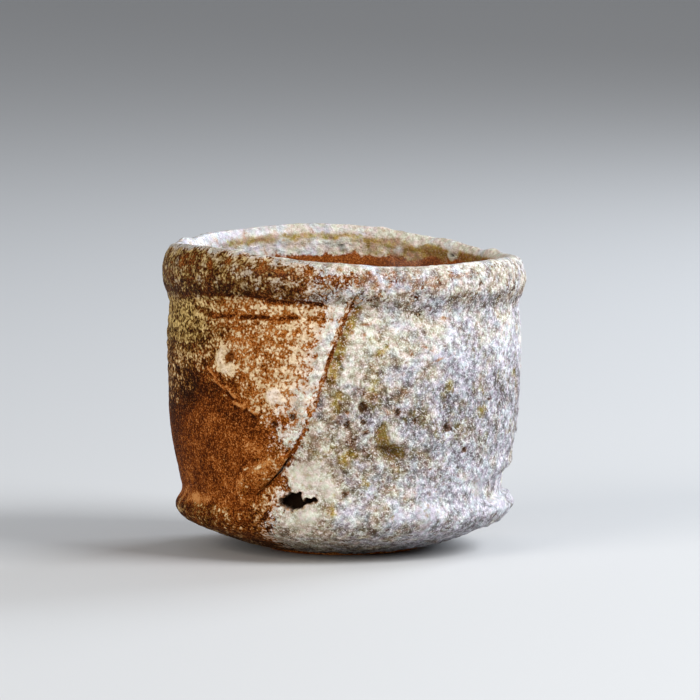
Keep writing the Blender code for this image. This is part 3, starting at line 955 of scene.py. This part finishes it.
paints = {
    "bare": ((0.0, (0.017, 0.0045, 0.001)), (0.28, (0.064, 0.0125, 0.001)),
             (0.52, (0.163, 0.037, 0.004)), (0.74, (0.345, 0.095, 0.014)),
             (1.0, (0.60, 0.27, 0.085))),
    "warmCrust": ((0.0, (0.100, 0.068, 0.046)), (0.24, (0.236, 0.178, 0.126)),
                  (0.48, (0.42, 0.358, 0.288)), (0.72, (0.65, 0.595, 0.525)),
                  (1.0, (0.89, 0.855, 0.80))),
    "coolCrust": ((0.0, (0.115, 0.100, 0.110)), (0.24, (0.250, 0.238, 0.276)),
                  (0.48, (0.408, 0.400, 0.472)), (0.72, (0.61, 0.612, 0.715)),
                  (1.0, (0.85, 0.855, 0.93))),
    "sparkleHighlight": (0.74, 0.36, 0.13, 1.0),
    "tan": (0.45, 0.150, 0.018, 1.0),
    "cream": (0.93, 0.76, 0.52, 1.0),
    "moss": (0.21, 0.118, 0.022, 1.0),
    "straw": (0.78, 0.57, 0.215, 1.0),
    "milk": (0.93, 0.82, 0.72, 1.0),
    "dimFleck": (0.74, 0.66, 0.56, 1.0),
    "brightFleck": (1.12, 1.11, 1.10, 1.0),
    "pinkTint": (1.0, 0.91, 0.90, 1.0),
    "greenTint": (0.93, 1.0, 0.90, 1.0),
    "oliveTint": (0.65, 0.50, 0.14, 1.0),
    "rustTint": (0.58, 0.33, 0.19, 1.0),
    "pitTint": (0.22, 0.11, 0.07, 1.0),
    "glintHighlight": (0.92, 0.90, 0.88, 1.0),
    "darkMarksAndShade": (0.011, 0.005, 0.002, 1.0),
}


def fillFiredClay():
    for name in zoneNames:
        firedClay.interface.new_socket(name, in_out="INPUT", socket_type="NodeSocketFloat")
    firedClay.interface.new_socket("colour", in_out="OUTPUT", socket_type="NodeSocketColor")
    for name in ("roughness", "coat", "height"):
        firedClay.interface.new_socket(name, in_out="OUTPUT", socket_type="NodeSocketFloat")
    zone = add(firedClay, "NodeGroupInput").outputs
    place = add(firedClay, "ShaderNodeTexCoord").outputs["Object"]
    veil = cloud(place, 2.4, 3, 0.6)
    grit = cloud(place, 0.62, 2, 0.55)
    dust = cloud(place, 0.27, 1, 0.6)
    stain = cloud(place, 1.3, 3, 0.6)
    drift = cloud(place, 3.4, 2, 0.5)
    cellInputs = {"Vector": place, "Scale": 1 / (0.60 * mm)}
    cells = add(firedClay, "ShaderNodeTexVoronoi", cellInputs).outputs["Distance"]
    fineBlots = about(cloud(place, 0.48, 2, 0.55), 0.56)
    broadBlots = about(cloud(place, 1.4, 2, 0.5), 0.42)
    blots = total(0.5, fineBlots, broadBlots, about(cells, -0.20))
    lumpInputs = {"Vector": place, "Scale": 1 / (1.05 * mm), "Smoothness": 0.6}
    lumps = add(firedClay, "ShaderNodeTexVoronoi", lumpInputs, feature="SMOOTH_F1")
    lumps = lumps.outputs["Distance"]
    bar = fade(zone["speck"], 0.0, 1.0, 0.76, 0.32)
    over = total(blots, times(bar, -1.0), about(dust, 0.15))
    fleck = fade(over, -0.10, 0.05)
    core = fade(over, -0.02, 0.13)

    # bare clay with painted orange sparkle highlights, and pale flecks that are brightest in the
    # middle
    calm = fade(zone["gloss"], 0.3, 0.9, 1.0, 0.4)
    swing = total(about(veil, 0.7), about(grit, 0.8), about(dust, 1.5))
    warmth = total(zone["warm"], times(swing, calm))
    # painted highlights: small bright orange sparkles
    paintedSparkles = fade(total(dust, about(grit, 0.5)), 0.59, 0.69, 0.0, 0.15)
    paintedSparkles = times(paintedSparkles, calm)
    bare = mixColour(paintedSparkles, ramp(warmth, paints["bare"]), paints["sparkleHighlight"])
    edgeColour = mixColour(zone["straw"], paints["tan"], paints["moss"])
    coreColour = mixColour(zone["straw"], paints["cream"], paints["straw"])
    coreColour = mixColour(fade(zone["ash"], 0.04, 0.42), coreColour, paints["milk"])
    patchy = fade(total(0.5, about(grit, 1.0), about(stain, 0.8)), 0.3, 0.7)
    patches = mixColour(patchy, paints["dimFleck"], paints["brightFleck"])
    coreColour = mixColour(1.0, coreColour, patches, "MULTIPLY")
    fleckColour = mixColour(core, edgeColour, coreColour)
    bare = mixColour(times(fleck, 0.9), bare, fleckColour)

    # ash crust, warm or cool, stained olive and rust, with small dark pits and painted white glints
    dark = times(zone["grey"], -0.60)
    mottle = total(about(veil, 1.45), about(stain, 0.6), about(grit, 0.85),
                   about(dust, 0.95), about(lumps, -0.55))
    shade = total(0.71, dark, times(mottle, calm))
    hue = total(zone["hue"], about(drift, 3.4), about(stain, 1.3))
    coolCrust = ramp(shade, paints["coolCrust"])
    crust = mixColour(hue, coolCrust, ramp(shade, paints["warmCrust"]))
    blush = fade(cloud(place, 1.0, 2, 0.5), 0.36, 0.64)
    blush = mixColour(blush, paints["pinkTint"], paints["greenTint"])
    crust = mixColour(1.0, crust, blush, "MULTIPLY")
    olive = total(zone["olive"], about(stain, -1.9), about(grit, -0.6))
    olive = fade(olive, 0.25, 1.05)
    crust = mixColour(olive, crust, paints["oliveTint"], "MULTIPLY")
    rust = total(zone["rust"], about(stain, 1.9), about(grit, 0.6))
    rust = fade(rust, 0.30, 1.05)
    crust = mixColour(rust, crust, paints["rustTint"], "MULTIPLY")
    pits = fade(stain, 0.62, 0.70)
    pits = times(pits, fade(zone["grey"], 0.15, 0.5, 0.2, 0.8))
    crust = mixColour(pits, crust, paints["pitTint"], "MULTIPLY")
    # painted highlights: fine white glints, fewer where the surface is glossy
    paintedGlints = fade(total(dust, about(grit, 0.6)), 0.57, 0.69, 0.0, 0.45)
    paintedGlints = times(paintedGlints, fade(zone["gloss"], 0.3, 0.8, 1.0, 0.2))
    crust = mixColour(paintedGlints, crust, paints["glintHighlight"])

    # where the crust covers the clay, then roughness and fine relief
    grain = total(about(grit, 1.2), about(dust, 0.4), about(veil, 0.8))
    grain = times(grain, fade(zone["gloss"], 0.2, 0.9, 1.0, 0.3))
    cover = fade(total(zone["ash"], grain), 0.40, 0.66)
    colour = mixColour(cover, bare, crust)
    # near-black for dark pits and cracks, and painted shade under the foot, under the collar and in
    # hollows
    colour = mixColour(zone["darkMarksAndShade"], colour, paints["darkMarksAndShade"])
    rough = total(0.60, times(zone["gloss"], -0.34), times(fleck, -0.12))
    crustHeight = total(grit, times(dust, 0.25), times(pits, -0.6),
                        times(veil, 0.6), times(lumps, -1.1))
    clayHeight = total(times(dust, 0.6), times(core, 0.35), times(grit, 0.4))
    height = add(firedClay, "ShaderNodeMix", {0: cover, 2: clayHeight, 3: crustHeight}).outputs[0]
    coat = times(zone["gloss"], 0.5)
    results = {"colour": colour, "roughness": rough, "coat": coat, "height": height}
    add(firedClay, "NodeGroupOutput", results)


fillFiredClay()
clayFinish = {"specular": 0.02, "coatRoughness": 0.25, "bumpDepth": 0.34}


def firedMaterial(look):
    material = bpy.data.materials.new(look["name"] + "Clay")
    material.use_nodes = True
    tree = material.node_tree
    surface = tree.nodes["Principled BSDF"]
    surface.inputs["Specular IOR Level"].default_value = clayFinish["specular"]
    surface.inputs["Coat Roughness"].default_value = clayFinish["coatRoughness"]
    skin = add(tree, "ShaderNodeGroup", node_tree=firedClay)
    for zone in zoneNames:
        mask = add(tree, "ShaderNodeAttribute", attribute_name=zone)
        tree.links.new(mask.outputs["Fac"], skin.inputs[zone])
    relief = {"Height": skin.outputs["height"], "Strength": look["bump"],
              "Distance": clayFinish["bumpDepth"] * mm}
    bump = add(tree, "ShaderNodeBump", relief)
    tree.links.new(skin.outputs["colour"], surface.inputs["Base Color"])
    tree.links.new(skin.outputs["roughness"], surface.inputs["Roughness"])
    tree.links.new(skin.outputs["coat"], surface.inputs["Coat Weight"])
    tree.links.new(bump.outputs["Normal"], surface.inputs["Normal"])
    return material


wallLook = {
    "node": "wall_slab", "name": "ashCrustedWall", "slot": "ash_crusted_clay",
    "outer": skinZones, "inner": innerZones, "isInner": wallInner,
    "edge": 0.47, "bump": 0.9, "softened": True, "fineMarks": True,
}
collarLook = {
    "node": "rim_collar", "name": "rolledCollar", "slot": "rim_ash_clay",
    "outer": skinZones, "inner": innerZones, "isInner": wallInner,
    "edge": 0.42, "bump": 0.9, "softened": True, "fineMarks": False,
}
baseLook = {
    "node": "base_slab", "name": "flangedBase", "slot": "fire_flashed_clay",
    "outer": skinZones, "inner": innerZones, "isInner": baseInner,
    "edge": 0.45, "bump": 0.9, "softened": True, "fineMarks": True,
}
coilLook = {
    "node": "floor_coil", "name": "cornerCoil", "slot": "inner_clay",
    "outer": innerZones, "inner": None, "isInner": noFace,
    "edge": 0.8, "bump": 0.6, "softened": False, "fineMarks": False,
}
footLook = {
    "node": "foot_ring", "name": "footRing", "slot": "bare_clay",
    "outer": footZones, "inner": None, "isInner": noFace,
    "edge": 0.6, "bump": 0.6, "softened": False, "fineMarks": False,
}
for look in (wallLook, collarLook, baseLook, coilLook, footLook):
    dressPiece(look)

# Floor
floorLook = {"half": 3.0, "colour": (0.62, 0.62, 0.62, 1.0), "roughness": 0.7}
floorForm = bmesh.new()
bmesh.ops.create_grid(floorForm, x_segments=1, y_segments=1, size=floorLook["half"])
floorMesh = bpy.data.meshes.new("floor")
floorForm.to_mesh(floorMesh)
floorForm.free()
floor = bpy.data.objects.new("floor", floorMesh)
bpy.context.scene.collection.objects.link(floor)
floorMaterial = bpy.data.materials.new("paleFloor")
floorMaterial.use_nodes = True
floorSurface = floorMaterial.node_tree.nodes["Principled BSDF"]
floorSurface.inputs["Base Color"].default_value = floorLook["colour"]
floorSurface.inputs["Roughness"].default_value = floorLook["roughness"]
floorMesh.materials.append(floorMaterial)

# Soft light: a cool window on the right, a warm fill on the left
lamps = {
    "window": {"place": (0.62, -0.30, 0.52), "size": 0.50, "watts": 8.0,
               "colour": (0.94, 0.97, 1.0)},
    "backWindow": {"place": (0.55, 0.55, 0.42), "size": 0.45, "watts": 5.0,
                   "colour": (0.84, 0.91, 1.0)},
    "fill": {"place": (-0.75, -0.80, 0.45), "size": 0.7, "watts": 7.5,
             "colour": (1.0, 0.94, 0.86)},
}
target = Vector((0, 0, 0.028))
for name, lamp in lamps.items():
    light = bpy.data.lights.new(name, "AREA")
    light.energy = lamp["watts"]
    light.color = lamp["colour"]
    light.size = lamp["size"]
    holder = bpy.data.objects.new(name, light)
    holder.location = lamp["place"]
    holder.rotation_euler = (target - Vector(lamp["place"])).to_track_quat("-Z", "Y").to_euler()
    bpy.context.scene.collection.objects.link(holder)
surround = {"colour": (0.80, 0.83, 0.88, 1.0), "strength": 0.32}
world = bpy.data.worlds.new("studio")
world.use_nodes = True
background = world.node_tree.nodes["Background"]
background.inputs["Color"].default_value = surround["colour"]
background.inputs["Strength"].default_value = surround["strength"]
bpy.context.scene.world = world
print("lamps", len(lamps))

# Camera at the photograph's angle
view = {"place": (0.001143, -1.488172, 0.188), "tilt": math.radians(90 - 5.883),
        "lens": 438.75, "sensor": 36.0, "farthest": 20.0}
lens = bpy.data.cameras.new("camera")
lens.lens = view["lens"]
lens.sensor_width = view["sensor"]
lens.clip_end = view["farthest"]
camera = bpy.data.objects.new("camera", lens)
camera.location = view["place"]
camera.rotation_euler = (view["tilt"], 0.0, 0.0)
bpy.context.scene.collection.objects.link(camera)
bpy.context.scene.camera = camera
bpy.context.scene.view_settings.view_transform = "Standard"
